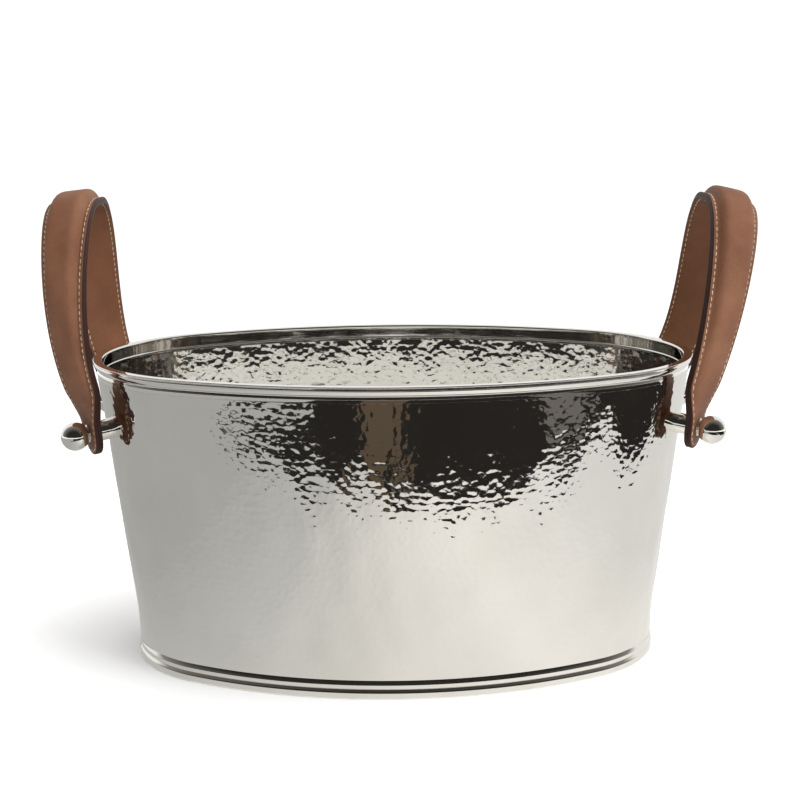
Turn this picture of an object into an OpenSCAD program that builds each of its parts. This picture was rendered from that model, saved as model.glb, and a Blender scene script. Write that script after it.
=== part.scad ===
// Oval champagne bucket: a hammered metal vessel with two padded leather handles on ball studs.
// Origin: the centre of the footprint, on the surface that the foot stands on.
// +Z is up, +X points to the right handle, and the front faces -Y. Millimetres.

/* [Vessel] */
// Height of the vessel, from the foot to the lip
vessel_h = 228; // [215:1:240]
// Half length of the lip
lip_a = 223.5; // [215:0.5:235]
// Half width of the lip
lip_b = 145.5; // [138:0.5:150]
// Thickness of the wall
wall_t = 1.6; // [1.4:0.1:2]
// How far the wall steps in for each millimetre down
wall_taper = 0.122; // [0.1:0.002:0.13]

/* [Mouldings] */
// Height of the rim moulding
rim_h = 12; // [12:0.5:14]
// Height of the foot ring
foot_h = 14; // [12:0.5:16]

/* [Ball studs] */
// Height of the stud holes in the wall
stud_z = 183; // [178:1:188]
// Angle of a stud's axis from the vessel's long axis
stud_phi = 28; // [25:1:32]
// Diameter of the ball knobs
ball_d = 20.5; // [18:0.5:22]
// Length of the spacer between the wall and the strap
spacer_l = 12; // [11:0.5:14]

/* [Handles] */
// Rise of a handle above its bend line, measured along its own lean
handle_rise = 136.5; // [125:0.5:145]
// Outward lean of the left handle at rest
left_lean = 5.6; // [4:0.1:14]
// Outward lean of the right handle at rest
right_lean = 12.3; // [4:0.1:14]
// Width of the strap at the top of a handle
strap_top_w = 37.5; // [36:0.5:42]
// Height of the padded ridge at the top of a handle
ridge_h = 6.5; // [4:0.5:7]

/* [Hidden] */
$fn = 180;
SIDES = ["left", "right"];
ENDS = ["front", "rear"];
VESSEL_PARTS = ["wall", "floor_plate", "rim_moulding", "foot_ring"];
STUD_PARTS = ["knob", "stud", "spacer", "sealing_washer", "flat_washer", "cap_nut", "tab_cover", "tab_lining"];
STRAP_PARTS = ["strap_cover", "strap_core", "strap_lining"];

// The oval is two end arcs and two side arcs. Their centres and the step between their radii make
// an 8-15-17 triangle, so each pair of arcs meets smoothly on the line through its two centres.
oval_u = (lip_a - lip_b) / 6;
end_cx = 8 * oval_u;
side_cy = 15 * oval_u;
end_r = lip_a - end_cx;
side_r = end_r + 17 * oval_u;

// Wall: offsets are from the lip's edge, and negative towards the middle
wall_top = vessel_h - rim_h;
wall_in = 3;
wall_step = 1.2;
wall_edge = vessel_h - 3.5;
flare_h = 32;
flare_z = foot_h + flare_h;
flange_w = 6;
floor_t = 1.6;
floor_gap = 0.1;
taper_a = atan(wall_taper);

// Rim moulding, down from its top and out from the wall's edge
bead_r = 2.1;
bead_down = 4.5;
bead_out = 1.4;
cove_r = 5.5;
cove_down = 7;
cove_out = 0.3;
inner_t = 1.1;
inner_h = 10.4;
inner_bead_r = 0.8;
roll_r = 1.4;

// Foot ring
foot_w = 6;
foot_recess = 1.6;
foot_bead_r = 1.8;
foot_bead_down = 5.9;
foot_roll_r = 2.4;

// Stud parts, measured along the stud's axis from the wall's outer face
stud_r = 3;
thread_gap = 0.05;
wall_hole_r = 3.2;
slip_hole_r = 3.3;
spacer_r = 7.5;
cover_t = 2.8;
lining_t = 2.7;
collar_r = 6.5;
collar_h = 1;
ball_out = 10.1;
knob_bore = 11;
seal_r = 8;
seal_t = 1.5;
seat_drop = wall_t + 0.35;
washer_r = 7;
washer_t = 1;
nut_flats_d = 11.5;
nut_h = 5;
dome_r = 4.9;
nut_bore = 6.5;
strap_face = spacer_l + lining_t + cover_t;
nut_face = -seat_drop - seal_t - washer_t;

// Strap ends: flat tabs with a round tip
tab_w = 28.5;
tab_up = 30;

// The bend line of each handle runs along Y, just above the studs
stud_axis = [cos(stud_phi) * cos(taper_a), -sin(stud_phi) * cos(taper_a), -sin(taper_a)];
wall_up = [cos(stud_phi) * sin(taper_a), -sin(stud_phi) * sin(taper_a), cos(taper_a)];
stud_wall_r = end_r + wall_off(stud_z);
stud_p = [end_cx + stud_wall_r * cos(stud_phi), -stud_wall_r * sin(stud_phi), stud_z];
bend_up = 26;
bend_p = stud_p + stud_axis * (spacer_l + lining_t) + wall_up * bend_up;
bend_l = 200;
seat_r = 13.8;
knuckle_r = 13.5;

// Strap sections along a handle
strap_bend_w = 30;
bend_phi = 44;
arch_power = 2.6;
handle_bow = 5.5;
bow_power = 0.7;
loop_steps = 44;
loop_drop = 15;
ridge_margin = 4.6;
ridge_bend_h = 1.5;
ridge_power = 3.5;

function square_of(v) = v * v;

// Offset of the wall's outer face: a straight taper that turns upright above the foot
function wall_off(z) =
  z >= flare_z
    ? -wall_in - wall_taper * (wall_top - z)
    : wall_off(flare_z) - wall_taper * (flare_z - z) + wall_taper * square_of(flare_z - z) / (2 * flare_h);

foot_off = wall_off(foot_h);

// The parts of the plan that belong to one end arc and to one side arc
module end_sector(m) {
  polygon([[m * end_cx, 0], [m * 4 * end_cx, 3 * side_cy], [m * 4 * end_cx, -3 * side_cy]]);
}

module side_sector(m) {
  polygon([
    [-end_cx, 0], [end_cx, 0], [4 * end_cx, m * 3 * side_cy], [-4 * end_cx, m * 3 * side_cy]
  ]);
}

// Sweeps a profile round the oval: x is the offset from the lip's edge, y is the height
module oval_sweep() {
  for (m = [-1, 1]) {
    intersection() {
      translate([m * end_cx, 0, 0]) rotate_extrude() translate([end_r, 0]) children();
      translate([0, 0, -1]) linear_extrude(vessel_h + 2) end_sector(m);
    }
    intersection() {
      translate([0, -m * side_cy, 0]) rotate_extrude() translate([side_r, 0]) children();
      translate([0, 0, -1]) linear_extrude(vessel_h + 2) side_sector(m);
    }
  }
}

// The filled oval at one offset
module oval_face(offset_by) {
  for (m = [-1, 1]) {
    intersection() {
      translate([m * end_cx, 0]) circle(end_r + offset_by);
      end_sector(m);
    }
    intersection() {
      translate([0, -m * side_cy]) circle(side_r + offset_by);
      side_sector(m);
    }
  }
}

function flare_line(inset) =
  [for (i = [0:8]) let (z = foot_h + flare_h * i / 8) [wall_off(z) - inset, z]];

module wall_profile() {
  seat = -wall_in - wall_step;
  inner_foot = foot_h + wall_t;
  inner_flare = [for (p = flare_line(wall_t)) if (p[1] > inner_foot + 1) p];
  polygon(concat(
    flare_line(0),
    [[wall_off(wall_top), wall_top], [seat, wall_top], [seat, wall_edge]],
    [[seat - wall_t, wall_edge], [seat - wall_t, wall_top], [wall_off(wall_top - 5) - wall_t, wall_top - 5]],
    [for (i = [len(inner_flare) - 1:-1:0]) inner_flare[i]],
    [[foot_off - wall_t, inner_foot], [foot_off - flange_w, inner_foot], [foot_off - flange_w, foot_h]]
  ));
}

module wall() {
  color("gainsboro")
    difference() {
      oval_sweep() wall_profile();
      for (s = SIDES, e = ENDS)
        at_stud(s, e) translate([0, 0, -8]) cylinder(r = wall_hole_r, h = 16);
    }
}

module floor_plate() {
  color("silver")
    translate([0, 0, foot_h + wall_t])
      linear_extrude(floor_t) oval_face(foot_off - wall_t - floor_gap);
}

// A channel over the wall's edge, with a thin lip, a bead, and a cove that runs out to the wall's face
module rim_profile() {
  seat = -wall_in - wall_step;
  inner = seat - wall_t;
  cap_h = vessel_h - wall_edge;
  translate([0, vessel_h]) {
    difference() {
      union() {
        difference() {
          translate([seat, -rim_h]) square([wall_step, rim_h - 1]);
          translate([seat + cove_out + cove_r, -cove_down]) circle(cove_r);
        }
        translate([seat + bead_out, -bead_down]) circle(bead_r);
        polygon([[seat, -3], [seat, 0], [-0.7, 0], [-0.2, -0.2], [0, -0.6], [0, -1], [-0.5, -1.5], [-2, -3]]);
      }
      translate([inner, -rim_h - 1]) square([wall_t, rim_h + 1 - cap_h]);
    }
    translate([inner + 0.3, -cap_h]) square([seat - inner, cap_h]);
    translate([inner - inner_t + roll_r, -roll_r]) circle(roll_r);
    translate([inner - inner_t, -inner_h]) square([inner_t, inner_h - roll_r]);
    translate([inner - inner_bead_r, -inner_h]) circle(inner_bead_r);
  }
}

module rim_moulding() {
  color("whitesmoke") oval_sweep() rim_profile();
}

// A ring with a recess under the wall, a bead, a groove and a round foot bead
module foot_profile() {
  face = foot_off - foot_recess;
  translate([foot_off - foot_w, 0]) square([foot_w - foot_recess, foot_h]);
  translate([face, foot_h - foot_bead_down]) circle(foot_bead_r);
  intersection() {
    translate([face, foot_roll_r]) circle(foot_roll_r);
    translate([face - 1, 0]) square([5, 5]);
  }
}

module foot_ring() {
  color("whitesmoke") oval_sweep() foot_profile();
}

// Frame of one stud: +Z runs outwards along its axis, and -X runs up the wall
module at_stud(s, e) {
  mirror([s == "left" ? 1 : 0, 0, 0])
    mirror([0, e == "rear" ? 1 : 0, 0])
      translate(stud_p)
        rotate([0, 0, -stud_phi]) rotate([0, 90 + taper_a, 0]) children();
}

module knob() {
  color("whitesmoke")
    difference() {
      union() {
        translate([0, 0, strap_face]) cylinder(r = collar_r, h = collar_h + 1.5);
        intersection() {
          translate([0, 0, strap_face + ball_out]) sphere(d = ball_d);
          translate([0, 0, strap_face + collar_h]) cylinder(r = ball_d, h = 2 * ball_d);
        }
      }
      translate([0, 0, strap_face - 1]) cylinder(r = stud_r + thread_gap, h = knob_bore + 1);
    }
}

module stud() {
  inner_end = nut_face - nut_bore + 0.5;
  color("lightgrey")
    translate([0, 0, inner_end]) cylinder(r = stud_r, h = strap_face + knob_bore - 0.5 - inner_end);
}

// The spacer's inner end is cut to the wall's curve
module spacer(s, e) {
  high = stud_z + 25;
  low = stud_z - 27;
  color("whitesmoke")
    difference() {
      at_stud(s, e) translate([0, 0, -0.6]) difference() {
        cylinder(r = spacer_r, h = spacer_l + 0.6);
        translate([0, 0, -1]) cylinder(r = slip_hole_r, h = spacer_l + 3);
      }
      oval_sweep() polygon([
        [wall_off(high), high], [wall_off(low), low], [wall_off(low) - 10, low], [wall_off(low) - 10, high]
      ]);
    }
}

module washer(outer_r, thickness, top, tint) {
  color(tint)
    translate([0, 0, top - thickness])
      difference() {
        cylinder(r = outer_r, h = thickness);
        translate([0, 0, -1]) cylinder(r = slip_hole_r, h = thickness + 2);
      }
}

module cap_nut() {
  color("gainsboro")
    mirror([0, 0, 1]) translate([0, 0, -nut_face])
      difference() {
        union() {
          cylinder(d = nut_flats_d, h = nut_h, $fn = 6);
          translate([0, 0, nut_h]) cylinder(r = dome_r, h = 0.8);
          intersection() {
            translate([0, 0, nut_h + 0.8]) sphere(r = dome_r);
            translate([0, 0, nut_h]) cylinder(r = dome_r + 1, h = dome_r + 2);
          }
        }
        translate([0, 0, -1]) cylinder(r = stud_r + thread_gap, h = nut_bore + 1);
      }
}

// One layer of a strap's end: round tip below the stud, hollow seat for the handle's bend above it
module tab(s, e, base, thickness, tint) {
  color(tint)
    difference() {
      at_stud(s, e) translate([0, 0, base])
        difference() {
          linear_extrude(thickness) {
            circle(d = tab_w);
            translate([-tab_up, -tab_w / 2]) square([tab_up, tab_w]);
          }
          translate([0, 0, -1]) cylinder(r = slip_hole_r, h = thickness + 2);
        }
      bend_cylinder(s, seat_r);
    }
}

// A cylinder round a handle's bend line
module bend_cylinder(s, r) {
  translate([(s == "left" ? -1 : 1) * bend_p[0], 0, bend_p[2]])
    rotate([90, 0, 0]) cylinder(r = r, h = bend_l, center = true);
}

// Handle centre line in the handle's own plane: [along Y, up the plane]
function arch(v) = sign(v) * pow(abs(v), 2 / arch_power);
function loop_line() = concat(
  [[bend_p[1], -loop_drop]],
  [for (i = [0:loop_steps])
    let (a = 180 * i / loop_steps)
    [bend_p[1] * arch(cos(a)), handle_rise * arch(sin(a))]],
  [[-bend_p[1], -loop_drop]]
);

// How far the handle bows out of its plane, away from the vessel
function bow(p) = handle_bow * sin(180 * pow(max(p[1], 0) / handle_rise, bow_power));

// How far a point is along the way from the bend line, 0, to the top, 1
function along(p) = 0.62 * p[1] / handle_rise + 0.38 * (1 - abs(p[0] / bend_p[1]));
function strap_w(f) = strap_top_w - (strap_top_w - strap_bend_w) * pow(1 - max(f, 0), 1.5);
function ridge(f) = ridge_h - (ridge_h - ridge_bend_h) * square_of(1 - max(f, 0));
function bump(u, c) = abs(u) >= c ? 0 : 1 - pow(abs(u / c), ridge_power);
function places_across(w) =
  let (c = w / 2 - ridge_margin) [-w / 2, -c, -0.8 * c, -0.5 * c, 0, 0.5 * c, 0.8 * c, c, w / 2];

// A point of the strap: u runs across it, and v stands out of its outer face
function strap_point(line, i, u, v) =
  let (
    p = line[i],
    before = line[max(i - 1, 0)],
    after = line[min(i + 1, len(line) - 1)],
    t = (after - before) / norm(after - before),
    twist = (90 - bend_phi) * (1 - along(p)),
    out = [0, -t[1], t[0]],
    side = [1, 0, 0],
    face = out * cos(twist) + side * sin(twist),
    across = side * cos(twist) - out * sin(twist)
  )
  [bow(p), p[0], p[1]] + across * u + face * v;

// One station's ring: the upper row of points, then the lower row backwards
function layer_ring(line, i, layer) =
  let (
    f = along(line[i]),
    w = strap_w(f),
    c = w / 2 - ridge_margin,
    us = layer == "core" ? [for (u = places_across(w)) if (abs(u) <= c) u] : places_across(w),
    lift = i <= 1 || i >= len(line) - 2 ? 0 : ridge(f),
    top = [for (u = us) layer == "cover" ? lift * bump(u, c) + cover_t : layer == "core" ? lift * bump(u, c) : 0],
    low = [for (u = us) layer == "cover" ? lift * bump(u, c) : layer == "core" ? 0 : -lining_t]
  )
  layer == "core"
    ? concat(
      [for (k = [0:len(us) - 1]) strap_point(line, i, us[k], top[k])],
      [for (k = [len(us) - 2:-1:1]) strap_point(line, i, us[k], low[k])]
    )
    : concat(
      [for (k = [0:len(us) - 1]) strap_point(line, i, us[k], top[k])],
      [for (k = [len(us) - 1:-1:0]) strap_point(line, i, us[k], low[k])]
    );

// Sweeps one layer of the strap from station to station; both layers at a seam are split alike,
// so the core's upper faces are split like the lining's and its lower ones like the cover's
module strap_sweep(layer, first, last) {
  line = loop_line();
  rings = [for (i = [first:last]) layer_ring(line, i, layer)];
  n = len(rings[0]);
  m = len(rings);
  points = [for (r = rings, q = r) q];
  top = layer == "core" ? (n + 2) / 2 - 1 : layer == "cover" ? 0 : n;
  skin = [for (i = [0:m - 2], k = [0:n - 1])
    let (a = i * n + k, b = i * n + (k + 1) % n, d = a + n, c = b + n)
    each (k >= top ? [[a, b, c], [a, c, d]] : [[a, b, d], [b, c, d]])];
  caps = [[for (k = [n - 1:-1:0]) k], [for (k = [0:n - 1]) (m - 1) * n + k]];
  polyhedron(points = points, faces = concat(skin, caps), convexity = 6);
}

module in_handle(s) {
  mirror([s == "left" ? 1 : 0, 0, 0])
    translate([bend_p[0], 0, bend_p[2]])
      rotate([0, s == "left" ? left_lean : right_lean, 0]) children();
}

// The cover and the lining end in a knuckle round the bend line
module strap_skin(s, layer, tint) {
  last = loop_steps + 2;
  color(tint)
    in_handle(s)
      difference() {
        strap_sweep(layer, 0, last);
        difference() {
          translate([-bend_l / 2, -bend_l / 2, -2 * loop_drop]) cube([bend_l, bend_l, 2 * loop_drop]);
          rotate([90, 0, 0]) cylinder(r = knuckle_r, h = bend_l + 20, center = true);
        }
      }
}

module strap_core(s) {
  color("burlywood") in_handle(s) strap_sweep("core", 2, loop_steps);
}

wall();
floor_plate();
rim_moulding();
foot_ring();
for (s = SIDES, e = ENDS) {
  prefix = str(s, "_", e, "_");
  at_stud(s, e) knob();
  at_stud(s, e) stud();
  spacer(s, e);
  at_stud(s, e) washer(seal_r, seal_t, -seat_drop, "dimgrey");
  at_stud(s, e) washer(washer_r, washer_t, -seat_drop - seal_t, "lightgrey");
  at_stud(s, e) cap_nut();
  tab(s, e, spacer_l + lining_t, cover_t, "sienna");
  tab(s, e, spacer_l, lining_t, "saddlebrown");
}
for (s = SIDES) {
  strap_skin(s, "cover", "sienna");
  strap_core(s);
  strap_skin(s, "lining", "saddlebrown");
}
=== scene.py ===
"""Looks of the oval champagne bucket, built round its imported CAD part. Metres; lengths typed in mm say so."""

import math

import bmesh
import bpy
import numpy as np
from mathutils import Matrix, Vector


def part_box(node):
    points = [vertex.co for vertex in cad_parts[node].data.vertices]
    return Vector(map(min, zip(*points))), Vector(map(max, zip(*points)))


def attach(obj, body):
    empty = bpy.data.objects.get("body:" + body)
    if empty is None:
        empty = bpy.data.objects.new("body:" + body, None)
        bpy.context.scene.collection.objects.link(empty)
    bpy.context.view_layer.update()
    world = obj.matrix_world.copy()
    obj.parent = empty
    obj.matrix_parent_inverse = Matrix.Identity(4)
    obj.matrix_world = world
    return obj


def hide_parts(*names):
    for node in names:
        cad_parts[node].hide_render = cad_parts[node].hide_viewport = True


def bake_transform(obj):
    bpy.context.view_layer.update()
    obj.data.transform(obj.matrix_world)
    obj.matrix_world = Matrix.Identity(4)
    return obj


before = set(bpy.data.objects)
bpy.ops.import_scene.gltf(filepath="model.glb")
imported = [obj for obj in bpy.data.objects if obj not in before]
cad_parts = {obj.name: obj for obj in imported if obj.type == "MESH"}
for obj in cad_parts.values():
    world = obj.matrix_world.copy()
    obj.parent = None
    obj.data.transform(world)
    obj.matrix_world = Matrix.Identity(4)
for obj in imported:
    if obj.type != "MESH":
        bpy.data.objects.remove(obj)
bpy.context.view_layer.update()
MM = 0.001
SIDES = (("left", -1), ("right", 1))
ENDS = (("front", -1), ("rear", 1))

# ---------------------------------------------------------------- the vessel's oval, in mm
rim_low, rim_high = (Vector(p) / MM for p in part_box("rim_moulding"))
foot_low, foot_high = (Vector(p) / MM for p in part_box("foot_ring"))
VESSEL_H = round(rim_high.z, 2)
WALL_TOP = round(rim_low.z, 2)
FOOT_H = round(foot_high.z, 2)
LIP_A, LIP_B = round(rim_high.x * 2) / 2, round(rim_high.y * 2) / 2
OVAL_U = (LIP_A - LIP_B) / 6
END_CX, SIDE_CY = 8 * OVAL_U, 15 * OVAL_U
END_R = LIP_A - END_CX
SIDE_R = END_R + 17 * OVAL_U
END_PHI = math.atan2(15, 8)
TAPER, WALL_IN, WALL_STEP, WALL_T = 0.122, 3.0, 1.2, 1.6
FLARE_H = 32.0
FLARE_Z = FOOT_H + FLARE_H
WALL_EDGE = VESSEL_H - 3.5
# the wall's outer face laps the rim's lower edge by this much, so that no light line shows between them
OVERLAP = 0.4
SEAT = -WALL_IN - WALL_STEP
FLANGE_W = 6
TINY = 1e-6


def wall_off(z):
    """Offset of the wall's outer face from the lip's edge: a taper that turns upright above the foot."""
    z = np.asarray(z, float)
    high = -WALL_IN - TAPER * (WALL_TOP - z)
    at_flare = -WALL_IN - TAPER * (WALL_TOP - FLARE_Z)
    low = at_flare - TAPER * (FLARE_Z - z) + TAPER * (FLARE_Z - z) ** 2 / (2 * FLARE_H)
    return np.where(z >= FLARE_Z, high, low)


FOOT_OFF = float(wall_off(FOOT_H))


def oval_stations(n_end, n_side):
    """Columns round the oval, from the right end by the rear: centre x, centre y, radius and normal angle."""
    arcs = (
        (END_CX, 0, END_R, -END_PHI, END_PHI, n_end),
        (0, -SIDE_CY, SIDE_R, END_PHI, math.pi - END_PHI, n_side),
        (-END_CX, 0, END_R, math.pi - END_PHI, math.pi + END_PHI, n_end),
        (0, SIDE_CY, SIDE_R, math.pi + END_PHI, 2 * math.pi - END_PHI, n_side),
    )
    return [(cx, cy, r, a + (b - a) * i / n) for cx, cy, r, a, b, n in arcs for i in range(n)]


def oval_xy(stations, off):
    """Points at offset off, an array with one row for each station."""
    c = np.array(stations, float)
    r = c[:, 2:3] + off
    return c[:, 0:1] + r * np.cos(c[:, 3:4]), c[:, 1:2] + r * np.sin(c[:, 3:4])


# ---------------------------------------------------------------- mesh helpers
def make_object(name, verts, faces, material, smooth_deg=40.0):
    """A mesh object from verts in mm and faces as arrays of quads or triangles."""
    me = bpy.data.meshes.new(name)
    verts = np.asarray(verts, float) * MM
    loops = np.concatenate([np.asarray(f).ravel() for f in faces]).astype(np.int32)
    totals = np.concatenate([np.full(len(f), np.shape(f)[1]) for f in faces]).astype(np.int32)
    starts = np.concatenate([[0], np.cumsum(totals)[:-1]]).astype(np.int32)
    me.vertices.add(len(verts))
    me.vertices.foreach_set("co", verts.ravel())
    me.loops.add(len(loops))
    me.loops.foreach_set("vertex_index", loops)
    me.polygons.add(len(totals))
    me.polygons.foreach_set("loop_start", starts)
    me.polygons.foreach_set("loop_total", totals)
    me.update(calc_edges=True)
    me.validate()
    me.polygons.foreach_set("use_smooth", np.ones(len(me.polygons), bool))
    me.set_sharp_from_angle(angle=math.radians(smooth_deg))
    me.materials.append(material)
    obj = bpy.data.objects.new(name, me)
    bpy.context.scene.collection.objects.link(obj)
    return obj


def grid_quads(rows, cols, wrap_rows=False, wrap_cols=False, first=0):
    """Quads of a rows by cols grid whose vertices run row by row."""
    i = np.arange(rows if wrap_rows else rows - 1)[:, None]
    j = np.arange(cols if wrap_cols else cols - 1)[None, :]
    a = i * cols + j
    b = i * cols + (j + 1) % cols
    c = ((i + 1) % rows) * cols + (j + 1) % cols
    d = ((i + 1) % rows) * cols + j
    return first + np.stack([a, b, c, d], -1).reshape(-1, 4)


def sweep_oval(name, profile, material, n_end, n_side, smooth_deg=50.0):
    """Sweeps a closed profile of (offset, z), given anticlockwise from above outwards, round the oval."""
    stations = oval_stations(n_end, n_side)
    p = np.asarray(profile, float)
    x, y = oval_xy(stations, p[None, :, 0])
    verts = np.stack([x, y, np.broadcast_to(p[None, :, 1], x.shape)], -1).reshape(-1, 3)
    quads = grid_quads(len(stations), len(p), wrap_rows=True, wrap_cols=True)
    return make_object(name, verts, [quads[:, ::-1] if signed_area(p) < 0 else quads], material, smooth_deg)


def signed_area(p):
    x, y = p[:, 0], p[:, 1]
    return 0.5 * float(np.sum(x * np.roll(y, -1) - np.roll(x, -1) * y))


def revolve(name, profile, place, material, seg=96, smooth_deg=40.0, radius_of=None):
    """Turns a profile of (radius, z) about Z. A radius of 0 becomes one vertex; radius_of unrounds the rest."""
    angles = np.arange(seg) * 2 * math.pi / seg
    verts, rings = [], []
    for r, z in profile:
        if r < TINY:
            rings.append([len(verts)])
            verts.append((0, 0, z))
        else:
            rings.append(list(range(len(verts), len(verts) + seg)))
            scale = np.ones(seg) if radius_of is None else radius_of(angles, r, z)
            verts += [(r * k * math.cos(a), r * k * math.sin(a), z) for a, k in zip(angles, scale)]
    quads, tris = [], []
    for a, b in zip(rings[:-1], rings[1:]):
        for i in range(seg):
            j = (i + 1) % seg
            if len(a) == 1 and len(b) > 1:
                tris.append((a[0], b[j], b[i]))
            elif len(b) == 1 and len(a) > 1:
                tris.append((a[i], a[j], b[0]))
            elif len(a) > 1:
                quads.append((a[i], a[j], b[j], b[i]))
    verts = np.array(verts, float) @ place[:3, :3].T + place[:3, 3]
    faces = [np.array(f) for f in (quads, tris) if f]
    return make_object(name, verts, faces, material, smooth_deg)


def arc(cx, cy, r, a, b, n):
    """n + 1 points on an arc from angle a to b, in degrees."""
    t = np.radians(np.linspace(a, b, n + 1))
    return [(cx + r * math.cos(v), cy + r * math.sin(v)) for v in t]


def soften(points, sigma=0.13, step=0.05, keep=0.07, longest=3.0):
    """Rounds the corners of a closed outline: resample, blur by sigma mm, and thin out where it is straight."""
    p = np.asarray(points, float)
    q = np.vstack([p, p[:1]])
    length = np.concatenate([[0], np.cumsum(np.hypot(*np.diff(q, axis=0).T))])
    n = int(length[-1] / step)
    s = np.linspace(0, length[-1], n, endpoint=False)
    f = np.stack([np.interp(s, length, q[:, k]) for k in (0, 1)], -1)
    reach = int(3 * sigma / step) + 1
    w = np.exp(-0.5 * (np.arange(-reach, reach + 1) * step / sigma) ** 2)
    w /= w.sum()
    g = sum(wk * np.roll(f, k, axis=0) for wk, k in zip(w, range(-reach, reach + 1)))
    kept = [0]
    heading = g - np.roll(g, 1, axis=0)
    turn = 0.0
    for i in range(1, len(g)):
        a, b = heading[i], heading[(i + 1) % len(g)]
        turn += abs(math.atan2(a[0] * b[1] - a[1] * b[0], float(a @ b)))
        if turn > keep or np.hypot(*(g[i] - g[kept[-1]])) > longest:
            kept.append(i)
            turn = 0.0
    return g[kept]


# ---------------------------------------------------------------- materials
DENT_SIZE, DENT_BUMP = 4.4, 0.11


def material(name):
    mat = bpy.data.materials.new(name)
    mat.use_nodes = True
    nt = mat.node_tree
    bsdf = nt.nodes["Principled BSDF"]
    return mat, nt, bsdf


def node(nt, kind, inputs=None, **props):
    n = nt.nodes.new(kind)
    for k, v in props.items():
        setattr(n, k, v)
    for k, v in (inputs or {}).items():
        if isinstance(v, bpy.types.NodeSocket):
            nt.links.new(v, n.inputs[k])
        else:
            n.inputs[k].default_value = v
    return n


def ramp(nt, fac, stops):
    n = node(nt, "ShaderNodeValToRGB", {"Fac": fac})
    e = n.color_ramp.elements
    while len(e) < len(stops):
        e.new(0.5)
    for k, (pos, col) in zip(e, stops):
        k.position = pos
        k.color = (*col, 1)
    return n


def metal(name, tint, dark, rough, rough_span, smear_scale, bump_scale, bump_height, hammered=False):
    """Plated metal: a colour that varies a little over patches, uneven polish, and a faint surface ripple."""
    mat, nt, bsdf = material(name)
    pos = node(nt, "ShaderNodeTexCoord").outputs["Object"]
    patch = node(nt, "ShaderNodeTexNoise", {"Vector": pos, "Scale": smear_scale, "Detail": 4.0,
                                            "Roughness": 0.55})
    colour = ramp(nt, patch.outputs["Fac"], [(0.3, dark), (0.62, tint)])
    nt.links.new(colour.outputs["Color"], bsdf.inputs["Base Color"])
    fine = node(nt, "ShaderNodeTexNoise", {"Vector": pos, "Scale": smear_scale * 7, "Detail": 5.0,
                                           "Roughness": 0.6})
    uneven = node(nt, "ShaderNodeMapRange", {"Value": fine.outputs["Fac"], "From Min": 0.3, "From Max": 0.75,
                                             "To Min": rough, "To Max": rough + rough_span})
    nt.links.new(uneven.outputs["Result"], bsdf.inputs["Roughness"])
    ripple = node(nt, "ShaderNodeTexNoise", {"Vector": pos, "Scale": bump_scale, "Detail": 3.0})
    bump = node(nt, "ShaderNodeBump", {"Height": ripple.outputs["Fac"], "Distance": bump_height,
                                       "Strength": 0.6})
    if hammered:
        cells = node(nt, "ShaderNodeTexVoronoi", {"Vector": pos, "Scale": 1 / (DENT_SIZE * MM),
                                                  "Randomness": 0.75})
        cup = node(nt, "ShaderNodeMath", {0: cells.outputs["Distance"], 1: 2.0}, operation="POWER")
        bump = node(nt, "ShaderNodeBump", {"Height": cup.outputs[0], "Distance": DENT_BUMP * MM,
                                           "Strength": 1.0, "Normal": bump.outputs["Normal"]})
    nt.links.new(bump.outputs["Normal"], bsdf.inputs["Normal"])
    bsdf.inputs["Metallic"].default_value = 1.0
    return mat


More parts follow.
